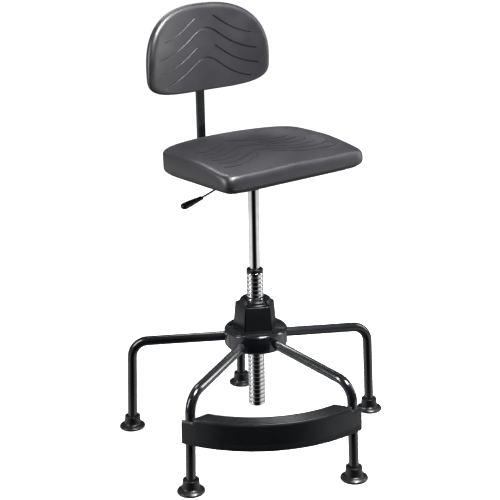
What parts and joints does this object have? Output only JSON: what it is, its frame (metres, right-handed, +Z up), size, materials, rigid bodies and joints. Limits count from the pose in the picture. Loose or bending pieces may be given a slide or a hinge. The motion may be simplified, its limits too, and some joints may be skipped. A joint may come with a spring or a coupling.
{
  "type": "drafting chair",
  "caption": "Industrial drafting chair with moulded seat and back on a gas spring and ringed lift post over a tubular leg base with a curved footrest.",
  "frame": {"origin": "floor level, under the middle of the bounding box; the column axis stands at x = -0.008 m, y = 0.019 m", "axes": "+Z up, -Y the way the sitter faces, +X to the sitter's left"},
  "size_m": [0.7325, 0.7194, 1.14],
  "materials": {
    "black_paint": "gloss black enamel",
    "chrome": "bright chrome plate",
    "zinc_steel": "zinc plated",
    "black_plastic": "semi-gloss moulded nylon",
    "glide_rubber": "smooth black rubber",
    "skin_foam": "self-skinned polyurethane foam, satin",
    "plywood": "plywood board"
  },
  "bodies": {
    "base": {"leg_front_right": "black_paint", "leg_side_right": "black_paint", "leg_rear": "black_paint", "leg_side_left": "black_paint", "leg_front_left": "black_paint", "glide_front_right": "glide_rubber", "glide_side_right": "glide_rubber", "glide_rear": "glide_rubber", "glide_side_left": "glide_rubber", "glide_front_left": "glide_rubber", "hub_flange": "black_paint", "hub_housing": "black_plastic", "jaw_1": "black_plastic", "jaw_2": "black_plastic", "jaw_3": "black_plastic", "jaw_4": "black_plastic", "jaw_5": "black_plastic", "flange_screw_1": "zinc_steel", "flange_screw_2": "zinc_steel", "flange_screw_3": "zinc_steel", "flange_screw_4": "zinc_steel", "flange_screw_5": "zinc_steel", "jaw_spring": "zinc_steel", "guide_bush": "black_plastic", "footrest": "black_plastic", "footrest_bolt_left": "zinc_steel", "footrest_bolt_right": "zinc_steel"},
    "lift_post": {"ringed_post": "chrome", "post_cap": "black_plastic", "bearing_washer_lower": "zinc_steel"},
    "spring_rod": {"thrust_bearing": "zinc_steel", "bearing_washer_upper": "zinc_steel", "rod_clip": "zinc_steel", "piston_rod": "chrome", "piston": "zinc_steel"},
    "seat": {"gas_tube": "chrome", "rod_gland": "black_plastic", "seat_cushion": "skin_foam", "seat_board": "plywood", "seat_bolt_1": "zinc_steel", "seat_bolt_2": "zinc_steel", "seat_bolt_3": "zinc_steel", "seat_bolt_4": "zinc_steel", "mechanism_plate": "black_paint", "mechanism_pan": "black_paint", "taper_socket": "black_paint", "lever_pivot_pin": "zinc_steel", "back_channel": "black_paint"},
    "lever": {"release_lever": "zinc_steel", "lever_rod": "black_paint", "lever_handle": "black_plastic"},
    "valve_pin": {"release_pin": "zinc_steel"},
    "back_support": {"back_bar": "black_paint"},
    "depth_clamp": {"depth_knob": "black_plastic"},
    "backrest": {"back_cushion": "skin_foam", "back_board": "plywood", "back_bracket": "black_paint", "back_screw_1": "zinc_steel", "back_screw_2": "zinc_steel"},
    "height_clamp": {"height_knob": "black_plastic"}
  },
  "joints": [
    {"name": "post_lift", "type": "slide", "parent": "base", "child": "lift_post", "axis": [0, 0, 1], "range_m": [-0.0698, 0.1395]},
    {"name": "seat_swivel", "type": "hinge", "parent": "lift_post", "child": "spring_rod", "pos_m": [-0.008, 0.019, 0.115], "axis": [0, 0, 1], "continuous": true},
    {"name": "gas_lift", "type": "slide", "parent": "spring_rod", "child": "seat", "axis": [0, 0, 1], "range_m": [-0.19, 0.01]},
    {"name": "lever_lift", "type": "hinge", "parent": "seat", "child": "lever", "pos_m": [-0.044, 0.019, 0.727], "axis": [0, 1, 0], "range_deg": [0, 6], "stiffness_Nm_per_rad": 4, "springref_deg": -6.88},
    {"name": "valve_press", "type": "slide", "parent": "seat", "child": "valve_pin", "axis": [0, 0, -1], "range_m": [0, 0.0045]},
    {"name": "back_depth", "type": "slide", "parent": "seat", "child": "back_support", "axis": [0, 1, 0], "range_m": [-0.025, 0.025]},
    {"name": "depth_knob_turn", "type": "hinge", "parent": "seat", "child": "depth_clamp", "pos_m": [-0.008, 0.1305, 0.71], "axis": [0, 0, 1], "range_deg": [0, 360]},
    {"name": "back_height", "type": "slide", "parent": "back_support", "child": "backrest", "axis": [0, 0, 1], "range_m": [-0.05, 0.05]},
    {"name": "height_knob_turn", "type": "hinge", "parent": "backrest", "child": "height_clamp", "pos_m": [-0.008, 0.259, 0.99], "axis": [0, 1, 0], "range_deg": [0, 360]}
  ],
  "couplings": [
    {"joint": "valve_press", "follows": "lever_lift", "m_per_rad": 0.0405}
  ]
}
